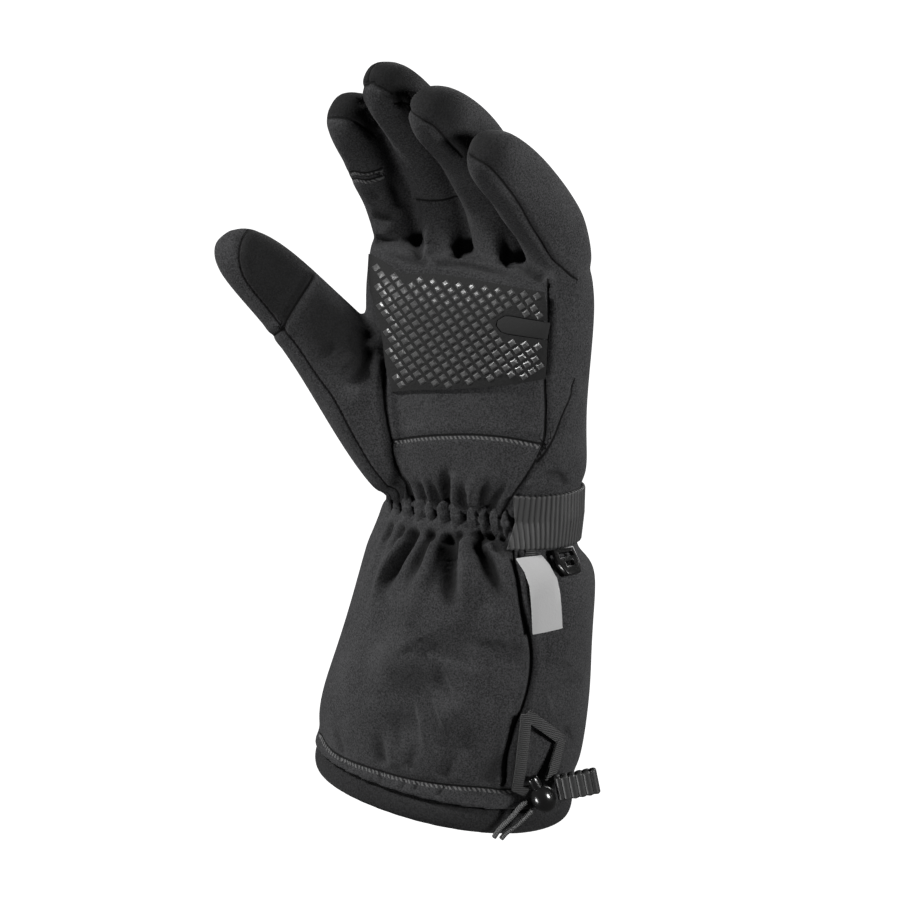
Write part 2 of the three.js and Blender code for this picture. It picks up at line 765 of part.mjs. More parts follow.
// Cord lock: a sprung ball with a push button, lying on the cuff's outer side
const lockAngle = -20;
const lockHeight = 17;
const lockAim = new THREE.Vector3(-0.33, -0.36, 0.87).normalize();
const lockCentre = overSkin(lockAngle, lockHeight, lockWidth / 2 + lockStandOff);
const boreWidth = buttonWidth + 2 * gap;
const boreFloor = lockFloor - lockLength / 2;
const lockRim = 0.84; // share of the half-length at which the ball is cut off flat

function lathed(profile, segments = 16) {
  const geometry = new THREE.LatheGeometry(profile.map(([x, y]) => new THREE.Vector2(x, y)), segments);
  geometry.deleteAttribute('normal');
  geometry.deleteAttribute('uv');
  const merged = mergeVertices(geometry, 1e-4);
  merged.computeVertexNormals();
  return merged;
}

function buildLock() {
  const steps = 7;
  const lowest = -Math.PI / 2;
  const highest = Math.asin(lockRim);
  const side = Array.from({ length: steps }, (_, k) => {
    const turn = lowest + ((highest - lowest) * k) / (steps - 1);
    return [Math.max(0, (Math.cos(turn) * lockWidth) / 2), (Math.sin(turn) * lockLength) / 2];
  });
  side[0][0] = 0;
  const bore = boreWidth / 2;
  return lathed([...side, [bore, (lockRim * lockLength) / 2], [bore, boreFloor], [0, boreFloor]]);
}

function buildPlunger() {
  const low = boreFloor + plungerTravel + gap;
  const high = lockLength / 2 + buttonRise;
  const radius = buttonWidth / 2;
  const crown = [radius - buttonRound / 2, high - buttonRound / 4];
  return lathed([[0, low], [radius, low], [radius, high - buttonRound], crown, [0, high]], 12);
}

function standLock(mesh) {
  mesh.position.copy(lockCentre);
  mesh.quaternion.setFromUnitVectors(new THREE.Vector3(0, 1, 0), lockAim);
}

// Pull tab: a flat loop of ribbed tape beside the ball
const pullAim = new THREE.Vector3(0.8, 0.56, 0.2).normalize();
const pullDrop = 0.2; // share of its height that hangs below the ball's middle

function stadium(length, depth) {
  const radius = depth / 2;
  const path = new THREE.Path();
  path.absarc(radius, 0, radius, Math.PI / 2, 1.5 * Math.PI);
  path.absarc(length - radius, 0, radius, -Math.PI / 2, Math.PI / 2);
  path.closePath();
  return path;
}

function buildPull() {
  const outline = new THREE.Shape(stadium(pullLength, pullDepth).getPoints(5).slice(0, -1));
  const hollow = stadium(pullLength - 2 * pullThickness, pullDepth - 2 * pullThickness);
  const inner = hollow.getPoints(4).slice(0, -1);
  for (const point of inner) point.x += pullThickness;
  outline.holes.push(new THREE.Path(inner));
  return new THREE.ExtrudeGeometry(outline, { depth: pullHeight, bevelEnabled: false });
}

function standPull(mesh) {
  const side = new THREE.Vector3(0, 0, 1).cross(pullAim).normalize();
  const rise = pullAim.clone().cross(side).normalize();
  mesh.quaternion.setFromRotationMatrix(new THREE.Matrix4().makeBasis(pullAim, side, rise));
  mesh.position.copy(lockCentre).addScaledVector(pullAim, lockWidth / 2 + 2 * gap);
  mesh.position.addScaledVector(rise, -pullDrop * pullHeight);
}

// Tether tape: a kite of flat tape, sewn in at its upper corner, with both ends at the ball.
// Angles and heights on the cuff, and the lift of the tape's middle off it.
const tetherTop = { angle: -33, height: 0.41 * cuffLength, lift: 1.2 };
const tetherSide = { angle: -11.5, height: 0.32 * cuffLength, lift: 1.4 };
const tetherLow = { angle: -32.5, height: 0.18 * cuffLength, lift: 2.6 };
const tetherEnd = { angle: -15, height: 0.25 * cuffLength, lift: 3 };

function bandLeg(from, to, steps) {
  return Array.from({ length: steps + 1 }, (_, k) => {
    const share = k / steps;
    const angle = THREE.MathUtils.lerp(from.angle, to.angle, share);
    const height = THREE.MathUtils.lerp(from.height, to.height, share);
    const lift = THREE.MathUtils.lerp(from.lift, to.lift, share);
    return { point: overSkin(angle, height, lift), normal: skinNormal(angle, height) };
  });
}

// The last stretch of a leg, up to the ball's surface
function towardsLock(leg) {
  const end = leg.at(-1);
  const away = end.point.clone().sub(lockCentre);
  const stop = lockCentre.clone().addScaledVector(away.normalize(), lockLength / 2 + 2 * gap);
  return [...leg, { point: stop, normal: end.normal }];
}

function buildTether() {
  const legs = [
    towardsLock(bandLeg(tetherTop, tetherLow, 4)),
    bandLeg(tetherTop, tetherSide, 4),
    towardsLock(bandLeg(tetherSide, tetherEnd, 2)),
  ];
  const solids = legs.map((leg) => toSolid(band(leg, tapeWidth, tapeThickness)));
  return toGeometry(solids.reduce((sum, leg) => sum.add(leg)));
}

// Drawcord strands from the ball to the lower hem. The points are chosen by hand on the cuff.
const strands = table(
  ['name', 'angle', 'height', 'lift'],
  [
    ['drawcord_front', [-28, -34, -38.5, -40.5], [15, 10, 5, 1], [4.2, 3, 2.2, 1.8]],
    ['drawcord_rear', [-26, -31, -35, -37], [11.5, 7, 3.5, 0.5], [4.2, 3, 2.2, 1.8]],
  ],
);

function buildStrand(strand) {
  const points = strand.angle.map((angle, k) => overSkin(angle, strand.height[k], strand.lift[k]));
  const away = points[0].clone().sub(lockCentre).normalize();
  const start = lockCentre.clone().addScaledVector(away, lockLength / 2 + gap);
  const circle = new THREE.Shape().absarc(0, 0, cordDiameter / 2, 0, 2 * Math.PI);
  const ring = new THREE.Shape(circle.getPoints(4).slice(0, -1));
  const path = new THREE.CatmullRomCurve3([start, ...points]);
  return new THREE.ExtrudeGeometry(ring, { steps: 8, bevelEnabled: false, extrudePath: path });
}

addPiece('gauntlet', buildGauntlet(), clothBlack);
addPiece('inner_cuff', buildInnerCuff(), clothBlack);
addPiece('hand_shell', buildHand(), clothBlack);
for (const finger of fingers) addPiece(finger.name, buildFinger(finger), clothBlack);
addPiece('thumb', buildThumb(), clothBlack);
addPiece('palm_grip', buildGrip(), rubberBlack);
addPiece('palm_tab', plate(tabPlace(0), 10, 2, trimLift, gripThickness), rubberBlack);
addPiece('wrist_strap', plate(strapPlace, 26, 2, trimLift, strapThickness), webbingBlack);
const loopPlace = patchPlace(loopAngle, loopHeight, loopWidth, loopLength);
addPiece('clip_loop', plate(loopPlace, 2, 4, trimLift, loopThickness), webbingBlack);
const labelPlace = patchPlace(labelAngle, labelHeight, labelWidth, labelLength, labelTilt);
addPiece('label', plate(labelPlace, 4, 6, labelLift, labelThickness), labelWhite);
const clip = addPiece('glove_clip', buildClip(), plasticBlack);
const clipHeight = underStrap - clipDrop - clipLength / 2;
clip.applyMatrix4(skinFrame(clipAngle, clipHeight, clipLift, clipLength / 2));
addPiece('tether_tape', buildTether(), webbingBlack);
standLock(addPiece('cord_lock_body', buildLock(), plasticBlack));
standLock(addPiece('cord_lock_plunger', buildPlunger(), plasticBlack));
standPull(addPiece('pull_tab', buildPull(), rubberBlack));
for (const strand of strands) addPiece(strand.name, buildStrand(strand), webbingBlack);

export default glove;
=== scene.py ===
# A padded winter glove for the left hand, with a long gathered cuff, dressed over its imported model.
# Lengths are in metres. The origin is the middle of the cuff's mouth, +Z runs to the fingertips,
# the palm faces -Y and the thumb points to -X.
import math

import bmesh
import bpy
import numpy as np
from mathutils import Matrix, Vector
from mathutils.bvhtree import BVHTree


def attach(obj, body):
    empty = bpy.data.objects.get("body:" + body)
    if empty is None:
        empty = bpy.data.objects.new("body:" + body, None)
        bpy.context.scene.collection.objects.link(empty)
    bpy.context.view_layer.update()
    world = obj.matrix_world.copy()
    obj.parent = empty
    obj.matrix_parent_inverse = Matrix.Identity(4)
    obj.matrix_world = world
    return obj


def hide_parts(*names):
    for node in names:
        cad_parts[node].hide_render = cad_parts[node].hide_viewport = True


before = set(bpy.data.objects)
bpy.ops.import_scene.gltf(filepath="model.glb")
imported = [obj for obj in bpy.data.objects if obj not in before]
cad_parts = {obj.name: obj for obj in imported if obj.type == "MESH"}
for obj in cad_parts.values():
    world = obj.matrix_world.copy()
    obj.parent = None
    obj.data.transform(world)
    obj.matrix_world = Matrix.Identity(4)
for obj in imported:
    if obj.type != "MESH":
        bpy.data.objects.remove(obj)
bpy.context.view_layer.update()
MM = 0.001

# Camera and light
# The palm is seen from the little finger's side and a little from above, against white. The main
# light is at the upper left, with weaker ones low in front, at the right and behind.
camera_turn = math.radians(35)
camera_rise = math.radians(10)
camera_distance = 1.1
camera_target = Vector((0.0035, 0, 0.146))
camera_lens = 107
sensor_side = 36
photo_side = 900
camera_back = Vector((
    math.sin(camera_turn) * math.cos(camera_rise),
    -math.cos(camera_turn) * math.cos(camera_rise),
    math.sin(camera_rise),
))
camera = bpy.data.objects.new("camera", bpy.data.cameras.new("camera"))
camera.data.lens = camera_lens
camera.data.sensor_width = sensor_side
camera.location = camera_target + camera_back * camera_distance
camera.rotation_mode = "QUATERNION"
camera.rotation_quaternion = (-camera_back).to_track_quat("-Z", "Y")
bpy.context.scene.collection.objects.link(camera)
bpy.context.scene.camera = camera


def soft_light(name, place, power, size):
    """A square area light that faces the glove's middle."""
    light = bpy.data.lights.new(name, "AREA")
    light.energy = power
    light.size = size
    lamp = bpy.data.objects.new(name, light)
    lamp.location = place
    lamp.rotation_euler = (camera_target - Vector(place)).to_track_quat("-Z", "Y").to_euler()
    bpy.context.scene.collection.objects.link(lamp)


soft_light("key_light", (-0.8, -0.72, 1.2), 52, 0.2)
soft_light("low_light", (-0.5, -1.1, -0.55), 20, 0.3)
soft_light("right_light", (1.3, 0.0, 0.4), 33, 0.3)
soft_light("back_light", (0.2, 1.3, 0.8), 16, 0.8)

fill_strength = 0.08
world = bpy.data.worlds.new("studio")
world.use_nodes = True
world.node_tree.nodes["Background"].inputs["Color"].default_value = (1, 1, 1, 1)
world.node_tree.nodes["Background"].inputs["Strength"].default_value = fill_strength
bpy.context.scene.world = world
bpy.context.scene.view_settings.view_transform = "Standard"

# The backdrop is a glowing dome that the camera sees, and that doesn't light or shade the glove.
backdrop_radius = 20
backdrop_glow = 1.1
dome = bmesh.new()
bmesh.ops.create_icosphere(dome, subdivisions=4, radius=backdrop_radius)
backdrop = bpy.data.objects.new("studio_backdrop", bpy.data.meshes.new("studio_backdrop"))
dome.to_mesh(backdrop.data)
dome.free()
bpy.context.scene.collection.objects.link(backdrop)
backdrop_paint = bpy.data.materials.new("studio_white")
backdrop_paint.use_nodes = True
backdrop_shader = backdrop_paint.node_tree.nodes["Principled BSDF"]
backdrop_shader.inputs["Base Color"].default_value = (0.8, 0.8, 0.8, 1)
backdrop_shader.inputs["Roughness"].default_value = 0.9
backdrop_shader.inputs["Emission Color"].default_value = (1, 1, 1, 1)
backdrop_shader.inputs["Emission Strength"].default_value = backdrop_glow
backdrop.data.materials.append(backdrop_paint)
backdrop.visible_diffuse = False
backdrop.visible_glossy = False
backdrop.visible_shadow = False

# Padded shell of the hand
# Stretch fabric over padding: a palm and a back, four fingers with side strips between them and a
# thumb, cut flat and sewn together inside out. One skin covers them, drawn in where they are sewn.
hand_nodes = ["hand_shell", "index_finger", "middle_finger", "ring_finger", "little_finger", "thumb"]
hand_cell = 1.3 * MM
hand_swell = 0.8 * MM
hand_rounds = 7
merge_reach = 0.01 * MM
shrink_share = 0.6


def points_of(mesh):
    """A mesh's points as rows of an array."""
    flat = np.empty(len(mesh.vertices) * 3)
    mesh.vertices.foreach_get("co", flat)
    return flat.reshape(-1, 3)


def put_points(mesh, points):
    """Moves a mesh's points to the rows of an array."""
    mesh.vertices.foreach_set("co", np.ascontiguousarray(points).ravel())
    mesh.update()


def tree_of(mesh):
    """A mesh's faces, ready for finding the nearest point or what a line meets."""
    return BVHTree.FromPolygons([v.co for v in mesh.vertices], [p.vertices for p in mesh.polygons])


def new_piece(name, mesh, slot, *nodes, body="glove"):
    """Links a mesh as a piece that rides on a body, and takes its nodes' place. Its slot is not used."""
    piece = bpy.data.objects.new(name, mesh)
    bpy.context.scene.collection.objects.link(piece)
    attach(piece, body)
    if nodes:
        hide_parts(*nodes)
    return piece


def settle(piece):
    """Puts a piece's modifiers into its mesh."""
    shown = piece.evaluated_get(bpy.context.evaluated_depsgraph_get())
    mesh = bpy.data.meshes.new_from_object(shown)
    piece.modifiers.clear()
    piece.data = mesh


def merged_copy(node):
    """A node's solid with its loose triangles merged."""
    solid = bmesh.new()
    solid.from_mesh(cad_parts[node].data)
    bmesh.ops.remove_doubles(solid, verts=solid.verts, dist=merge_reach)
    solid.normal_update()
    return solid


def soft_skin(name, nodes, cell, swell, rounds):
    """A smooth skin over copies of the nodes' solids.

    The copies are swollen a little so that they meet, and the skin is shrunk back by a share of it.
    """
    joined = bmesh.new()
    for node in nodes:
        solid = merged_copy(node)
        facing = {vert: vert.normal.copy() for vert in solid.verts}
        for vert in solid.verts:
            vert.co += facing[vert] * swell
        bmesh.ops.join_triangles(
            solid, faces=solid.faces, angle_face_threshold=0.9, angle_shape_threshold=1.2,
        )
        copy = bpy.data.meshes.new("copy")
        solid.to_mesh(copy)
        solid.free()
        rounded = bpy.data.objects.new("copy", copy)
        bpy.context.scene.collection.objects.link(rounded)
        finer = rounded.modifiers.new("finer", "SUBSURF")
        finer.levels = finer.render_levels = 2
        settle(rounded)
        joined.from_mesh(rounded.data)
        bpy.data.objects.remove(rounded)
    mesh = bpy.data.meshes.new(name)
    joined.to_mesh(mesh)
    joined.free()
    piece = new_piece(name, mesh, "softshell", *nodes)
    remesh = piece.modifiers.new("remesh", "REMESH")
    remesh.mode = "VOXEL"
    remesh.voxel_size = cell
    even = piece.modifiers.new("even", "SMOOTH")
    even.factor = 0.5
    even.iterations = rounds
    settle(piece)
    facings = np.empty(len(piece.data.vertices) * 3)
    piece.data.vertices.foreach_get("normal", facings)
    put_points(piece.data, points_of(piece.data) - facings.reshape(-1, 3) * swell * shrink_share)
    piece.data.shade_smooth()
    return piece


def photo_ray(u, v):
    """The camera's line through a pixel of the photograph."""
    across = (u / photo_side - 0.5) * sensor_side / camera_lens
    up = (0.5 - v / photo_side) * sensor_side / camera_lens
    return camera.location, (camera.rotation_quaternion @ Vector((across, up, -1))).normalized()


def laid_line(tree, points, step=0.6 * MM):
    """A line over a skin through points on it, as even samples with their normals and lengths."""
    route = []
    for k in range(len(points) - 1):
        before = points[max(k - 1, 0)]
        start, end = points[k], points[k + 1]
        after = points[min(k + 2, len(points) - 1)]
        count = max(2, round((end - start).length / step))
        for n in range(count):
            t = n / count
            route.append(0.5 * (
                2 * start + (end - before) * t
                + (2 * before - 5 * start + 4 * end - after) * t ** 2
                + (3 * start - before - 3 * end + after) * t ** 3
            ))
    route.append(points[-1])
    places, facings = [], []
    for point in route:
        place, facing, _, _ = tree.find_nearest(point)
        places.append(place)
        facings.append(facing)
    places, facings = np.array(places), np.array(facings)
    gaps = np.linalg.norm(np.diff(places, axis=0), axis=1)
    return places, facings, np.concatenate([[0], np.cumsum(gaps)])


def photo_line(tree, pixels):
    """A line over a skin through pixels of the photograph.

    A pixel just beyond the skin's outline takes the skin's nearest point to the camera's line.
    """
    points = []
    for u, v in pixels:
        start, way = photo_ray(u, v)
        hit = tree.ray_cast(start, way)[0]
        if hit is None:
            hit = tree.find_nearest(start + way * camera_distance)[0]
        points.append(hit)
    return laid_line(tree, points)


def inside(outline, u, v):
    """Whether a pixel is inside an outline of pixels."""
    odd = False
    for (u0, v0), (u1, v1) in zip(outline, outline[1:] + outline[:1]):
        if (v0 > v) != (v1 > v) and u < u0 + (v - v0) * (u1 - u0) / (v1 - v0):
            odd = not odd
    return odd


# How far a seam and a fold reach, how a fold fades at its deep and shallow ends, how the padding
# bulges beside a seam, and how deep a narrow fold is where the painted shade in its crease is darkest
seam_reach = 6 * MM
far_from_seam = 9.0
bulge_share = 0.35
bulge_place = 3.2 * MM
bulge_width = 2 * MM
fold_reach = 2.4
deep_end_fade = 10
shallow_end_fade = 1.7
narrow_fold = 4 * MM
full_crease_shade_depth = 3.2 * MM
batch = 4000


def sew_and_fold(piece, seams, folds):
    """Draws a skin in along its seams and folds, and keeps each point's place beside its seam.

    A seam is (line, depth, width, stitching), a fold (line, depth, width), where a negative
    depth is a ridge. The stitching is 0 for none, and above that it shows a row of stitches.
    A narrow fold's depth is also kept as painted shade in its crease, which a ridge lessens.
    """
    points = points_of(piece.data)
    moved = points.copy()
    side = np.full(len(points), far_from_seam)
    near = np.full(len(points), far_from_seam)
    along = np.zeros(len(points))
    stitching = np.zeros(len(points))
    # Painted shade in the creases of narrow folds, darker the deeper the fold
    painted_crease_shade = np.zeros(len(points))

    def beside(places, reach):
        """The points within reach of a line, the sample that each is closest to, and how far it is."""
        low, high = places.min(0) - reach, places.max(0) + reach
        chosen = np.flatnonzero(((points > low) & (points < high)).all(1))
        closest = np.zeros(len(chosen), int)
        away = np.zeros(len(chosen))
        for first in range(0, len(chosen), batch):
            some = slice(first, first + batch)
            gap = points[chosen[some], None] - places[None]
            length = np.sqrt((gap ** 2).sum(2))
            closest[some] = length.argmin(1)
            away[some] = length.min(1)
        kept = away < reach
        return chosen[kept], closest[kept], away[kept]

    for (places, facings, lengths), depth, width in folds:
        chosen, closest, away = beside(places, fold_reach * width)
        share = lengths[closest] / lengths[-1]
        fade = np.clip(share * deep_end_fade, 0, 1) * np.clip((1 - share) * shallow_end_fade, 0, 1)
        fade = fade * fade * (3 - 2 * fade)
        amount = depth * np.exp(-(away / width) ** 2) * fade
        moved[chosen] -= facings[closest] * amount[:, None]
        if width < narrow_fold:
            painted_crease_shade[chosen] += amount / full_crease_shade_depth
    for (places, facings, lengths), depth, width, kind in seams:
        chosen, closest, away = beside(places, seam_reach)
        bulge = bulge_share * np.exp(-((away - bulge_place) / bulge_width) ** 2)
        amount = depth * (np.exp(-(away / width) ** 2) - bulge)
        moved[chosen] -= facings[closest] * amount[:, None]
        tangents = np.gradient(places, axis=0)
        across = np.cross(facings, tangents)
        across /= np.linalg.norm(across, axis=1)[:, None] + 1e-9
        offset = ((points[chosen] - places[closest]) * across[closest]).sum(1)
        closer = away / MM < near[chosen]
        picked = chosen[closer]
        near[picked] = away[closer] / MM
        side[picked] = offset[closer] / MM
        along[picked] = lengths[closest[closer]] / MM
        stitching[picked] = kind
    put_points(piece.data, moved)
    kept = {
        "seam_side": side, "seam_near": near, "seam_along": along, "stitching": stitching,
        "painted_crease_shade": np.clip(painted_crease_shade, 0, 1),
    }
    for name, values in kept.items():
        layer = piece.data.attributes.new(name, "FLOAT", "POINT")
        layer.data.foreach_set("value", values.astype(np.float32))


def add_node(tree, kind, values=(), **settings):
    """A shader node with its settings, and its inputs linked or set."""
    node = tree.nodes.new("ShaderNode" + kind)
    for name, value in settings.items():
        setattr(node, name, value)
    for name, value in dict(values).items():
        if isinstance(value, bpy.types.NodeSocket):
            tree.links.new(value, node.inputs[name])
        else:
            node.inputs[name].default_value = value
    return node


def result(tree, operation, *terms):
    """A Math node's result."""
    return add_node(tree, "Math", enumerate(terms), operation=operation).outputs[0]


def step_down(tree, value, low, high):
    """1 below low, falling smoothly to 0 at high."""
    span = {"Value": value, "From Min": low, "From Max": high, "To Min": 1.0, "To Max": 0.0}
    return add_node(tree, "MapRange", span.items(), interpolation_type="SMOOTHSTEP").outputs[0]


def new_paint(name, roughness, sheen=0.0, specular=0.5):
    """A finish, its node tree and its shader."""
    paint = bpy.data.materials.new(name)
    paint.use_nodes = True
    shader = paint.node_tree.nodes["Principled BSDF"]
    shader.inputs["Roughness"].default_value = roughness
    shader.inputs["Specular IOR Level"].default_value = specular
    if sheen:
        shader.inputs["Sheen Weight"].default_value = sheen
        shader.inputs["Sheen Roughness"].default_value = 0.45
    return paint, paint.node_tree, shader


def softshell_paint():
    """Brushed stretch fabric: a faint heather, a fine nap, and thread where the seams are.

    Places across and along a seam are in millimetres, as the skin keeps them. The patch tone holds
    darker fabric patches and painted shade, and the creases of narrow folds take painted shade too.
    """
    grain_scale = 1500.0
    cloud_scale = 60.0
    heather_share = 0.86
    cloud_share = 0.14
    seam_ends = (2.6, 3.2)
    groove_sides = (0.15, 0.75)
    stitch_lean = 0.8
    stitch_pitch = 2.0
    stitch_ends = (0.16, 0.3)
    row_offset = 1.1
    row_sides = (0.5, 0.8)
    crease_shade_share = 0.9
    deepest_black = (0.002, 0.002, 0.002, 1)
    thread_grey = (0.06, 0.06, 0.06, 1)
    paint, tree, shader = new_paint("softshell", 0.9, sheen=0.02, specular=0.08)
    place = add_node(tree, "TexCoord").outputs["Object"]
    nap = add_node(tree, "TexNoise", {"Vector": place, "Scale": grain_scale, "Detail": 3.0}.items())
    grain = {"Vector": place, "Scale": grain_scale, "Detail": 2.0, "Roughness": 0.7}
    heather = add_node(tree, "TexNoise", grain.items())
    cloud = add_node(tree, "TexNoise", {"Vector": place, "Scale": cloud_scale, "Detail": 2.0}.items())
    shade = result(
        tree, "ADD", result(tree, "MULTIPLY", heather.outputs[0], heather_share),
        result(tree, "MULTIPLY", cloud.outputs[0], cloud_share),
    )
    ramp = add_node(tree, "ValToRGB", {"Fac": shade}.items())
    ramp.color_ramp.elements[0].position = 0.36
    ramp.color_ramp.elements[0].color = (0.007, 0.007, 0.0073, 1)
    ramp.color_ramp.elements[1].position = 0.64
    ramp.color_ramp.elements[1].color = (0.028, 0.028, 0.029, 1)

    read = {name: add_node(tree, "Attribute", attribute_name=name).outputs["Fac"]
            for name in ("seam_side", "seam_near", "seam_along", "stitching")}
    offset = result(tree, "ABSOLUTE", read["seam_side"])
    close = step_down(tree, read["seam_near"], *seam_ends)
    groove = result(tree, "MULTIPLY", step_down(tree, offset, *groove_sides), close)
    lean = result(tree, "MULTIPLY", read["seam_side"], stitch_lean)
    leaning = result(tree, "ADD", read["seam_along"], lean)
    beat = result(tree, "FRACT", result(tree, "DIVIDE", leaning, stitch_pitch))
    from_middle = result(tree, "ABSOLUTE", result(tree, "SUBTRACT", beat, 0.5))
    dash = step_down(tree, from_middle, *stitch_ends)
    from_row = result(tree, "ABSOLUTE", result(tree, "ADD", read["seam_side"], row_offset))
    row = step_down(tree, from_row, *row_sides)
    unsewn = step_down(tree, read["stitching"], 0.4, 0.5)
    sewn = result(tree, "MULTIPLY", result(tree, "SUBTRACT", 1.0, unsewn), close)
    thread = result(tree, "MULTIPLY", result(tree, "MULTIPLY", row, dash), sewn)
    # Darker fabric patches, with painted shade in the thumb's web and under the hem band
    patch_and_painted_shade = add_node(tree, "Attribute", attribute_name="patch_and_painted_shade").outputs["Fac"]
    # Painted shade in the creases of narrow folds
    crease_shade_mask = add_node(tree, "Attribute", attribute_name="painted_crease_shade").outputs["Fac"]
    shaded = result(tree, "MAXIMUM", patch_and_painted_shade, result(tree, "MULTIPLY", crease_shade_mask, crease_shade_share))
    patched = add_node(
        tree, "Mix", {"Factor": shaded, 6: ramp.outputs[0], 7: deepest_black}.items(),
        data_type="RGBA",
    )
    dark = add_node(
        tree, "Mix", {"Factor": groove, 6: patched.outputs[2], 7: deepest_black}.items(),
        data_type="RGBA",
    )
    lit = add_node(
        tree, "Mix", {"Factor": thread, 6: dark.outputs[2], 7: thread_grey}.items(),
        data_type="RGBA",
    )
    tree.links.new(lit.outputs[2], shader.inputs["Base Color"])

    height = result(tree, "ADD", result(tree, "MULTIPLY", nap.outputs[0], 0.16 * MM),
                    result(tree, "MULTIPLY", heather.outputs[0], 0.22 * MM))
    height = result(tree, "ADD", height, result(tree, "MULTIPLY", thread, 0.4 * MM))
    height = result(tree, "SUBTRACT", height, result(tree, "MULTIPLY", groove, 0.5 * MM))
    bump = add_node(tree, "Bump", {"Height": height, "Distance": 1.0, "Strength": 0.7}.items())
    tree.links.new(bump.outputs[0], shader.inputs["Normal"])
    return paint


softshell = softshell_paint()
hand = soft_skin("sewn_hand", hand_nodes, hand_cell, hand_swell, hand_rounds)
hand_tree = tree_of(hand.data)

# The seams that the photograph shows, by its pixels
thumb_pad_seam = [
    (247, 231), (240, 245), (239, 262), (244, 278), (256, 295), (270, 312), (284, 330), (298, 348),
    (316, 375), (334, 400), (350, 430), (370, 465), (383, 482), (398, 497),
]
thumb_outer_seam = [
    (221, 276), (235, 300), (252, 320), (270, 342), (290, 372), (308, 400), (322, 425), (345, 458),
    (364, 477), (386, 493),
]
thumb_cross_seam = [(312, 278), (300, 297), (290, 313), (284, 326)]
thumb_short_seam = [(270, 338), (277, 333), (284, 329)]
thumb_palm_seam = [
    (384, 332), (385, 360), (384, 392), (386, 415), (391, 440), (393, 455), (398, 470), (405, 487),
    (409, 500),
]
palm_cross_seam = [
    (392, 441), (410, 438), (430, 436), (452, 435), (475, 435), (500, 437), (520, 440), (542, 444),
]
palm_outer_seam = [
    (548, 286), (548, 320), (547, 350), (545, 380), (546, 410), (544, 440), (537, 458), (525, 478),
    (512, 497), (504, 511),
]
side_seam = [(573, 385), (571, 397), (563, 415), (555, 435), (546, 451), (538, 461)]
little_side_seam = [(473, 157), (491, 169), (511, 193), (532, 228), (550, 257), (562, 268), (572, 276)]
ring_side_seam = [(404, 103), (411, 112), (424, 121), (437, 130), (459, 153)]
index_cross_seam = [(328, 118), (342, 118), (356, 122), (372, 134)]
index_band = [(343, 169), (352, 172), (364, 173), (377, 170)]
index_band_low = [(345, 176), (354, 179), (366, 180), (378, 177)]
middle_cross_seam = [(420, 200), (432, 201), (444, 200), (454, 197)]
middle_tip_seam = [(360, 85), (368, 84), (377, 86), (386, 90)]
middle_end_seam = [(373, 66), (369, 75), (368, 84)]

# Each seam's depth in millimetres, and its stitching
photo_seams = [
    (thumb_pad_seam, 0.9, 0), (thumb_outer_seam, 0.7, 0), (thumb_cross_seam, 0.6, 0),
    (thumb_short_seam, 0.5, 0), (thumb_palm_seam, 1.6, 0), (palm_cross_seam, 0.6, 1),
    (palm_outer_seam, 1.3, 0), (side_seam, 0.8, 0), (little_side_seam, 0.8, 0),
    (ring_side_seam, 0.8, 0), (index_cross_seam, 0.5, 0), (index_band, 0.3, 1),
    (index_band_low, 0.3, 1), (middle_cross_seam, 0.6, 0), (middle_tip_seam, 0.6, 0),
    (middle_end_seam, 0.5, 0),
]
seam_width = 1.1 * MM
hand_seams = [
    (photo_line(hand_tree, pixels), depth * MM, seam_width, kind) for pixels, depth, kind in photo_seams
]

# The folds that it shows: pixels from the deep end, then depth and half-width in millimetres.
# A ridge has a negative depth.
hand_folds_seen = [
    ([(402, 500), (398, 484), (392, 470)], 2.4, 1.7),
    ([(413, 504), (408, 488), (401, 470)], 2.6, 1.7),
    ([(426, 506), (420, 488), (414, 474)], 2.4, 1.9),
    ([(438, 508), (433, 492), (426, 474)], 2.6, 1.8),
    ([(446, 508), (446, 486), (447, 462)], 3.4, 2.0),
    ([(463, 510), (463, 494), (461, 480)], 2.4, 1.7),
    ([(479, 511), (482, 494), (492, 476)], 3.0, 2.2),
    ([(488, 512), (498, 494), (510, 478)], 2.4, 1.9),
    ([(455, 506), (455, 486), (457, 466)], -1.6, 2.2),
    ([(470, 506), (473, 488), (480, 468)], -1.6, 2.6),
    ([(431, 504), (427, 488), (422, 470)], -1.3, 2.0),
    ([(408, 502), (404, 486), (398, 470)], -1.0, 1.6),
    ([(372, 346), (366, 362), (354, 376), (336, 386)], 3.6, 3.6),
    ([(366, 330), (360, 346), (350, 358)], 2.0, 3.4),
    ([(358, 358), (346, 366), (332, 372)], -1.8, 3.4),
    ([(362, 392), (350, 402), (338, 406)], -1.2, 4.0),
    ([(335, 344), (326, 356), (314, 361)], 1.0, 1.8),
    ([(374, 214), (385, 218), (400, 212)], 2.0, 1.8),
    ([(374, 228), (384, 232), (398, 226)], -1.4, 2.4),
    ([(374, 242), (388, 240), (404, 242)], 1.8, 1.8),
    ([(378, 200), (372, 192), (362, 188)], 1.0, 1.8),
    ([(421, 258), (417, 244), (414, 226)], 2.6, 1.8),
    ([(427, 256), (428, 240), (432, 220)], -1.8, 1.8),
    ([(459, 258), (461, 244), (468, 226)], 2.6, 1.8),
    ([(452, 256), (450, 242), (448, 226)], -1.2, 2.2),
    ([(510, 268), (508, 248), (502, 226)], 2.4, 1.8),
    ([(498, 264), (494, 246), (488, 230)], -1.2, 2.2),
    ([(430, 263), (402, 256), (376, 250)], 1.6, 1.8),
    ([(430, 263), (462, 263), (500, 272), (544, 288)], 1.8, 1.8),
    ([(545, 280), (530, 272), (514, 262)], 2.2, 2.4),
    ([(403, 208), (396, 190), (388, 170)], 1.2, 2.6),
    ([(566, 486), (560, 476), (545, 474), (532, 478)], 1.6, 1.6),
    ([(545, 482), (530, 484), (515, 490)], -1.2, 3.0),
]
hand_folds = [
    (photo_line(hand_tree, pixels), depth * MM, width * MM)
    for pixels, depth, width in hand_folds_seen
]
sew_and_fold(hand, hand_seams, hand_folds)
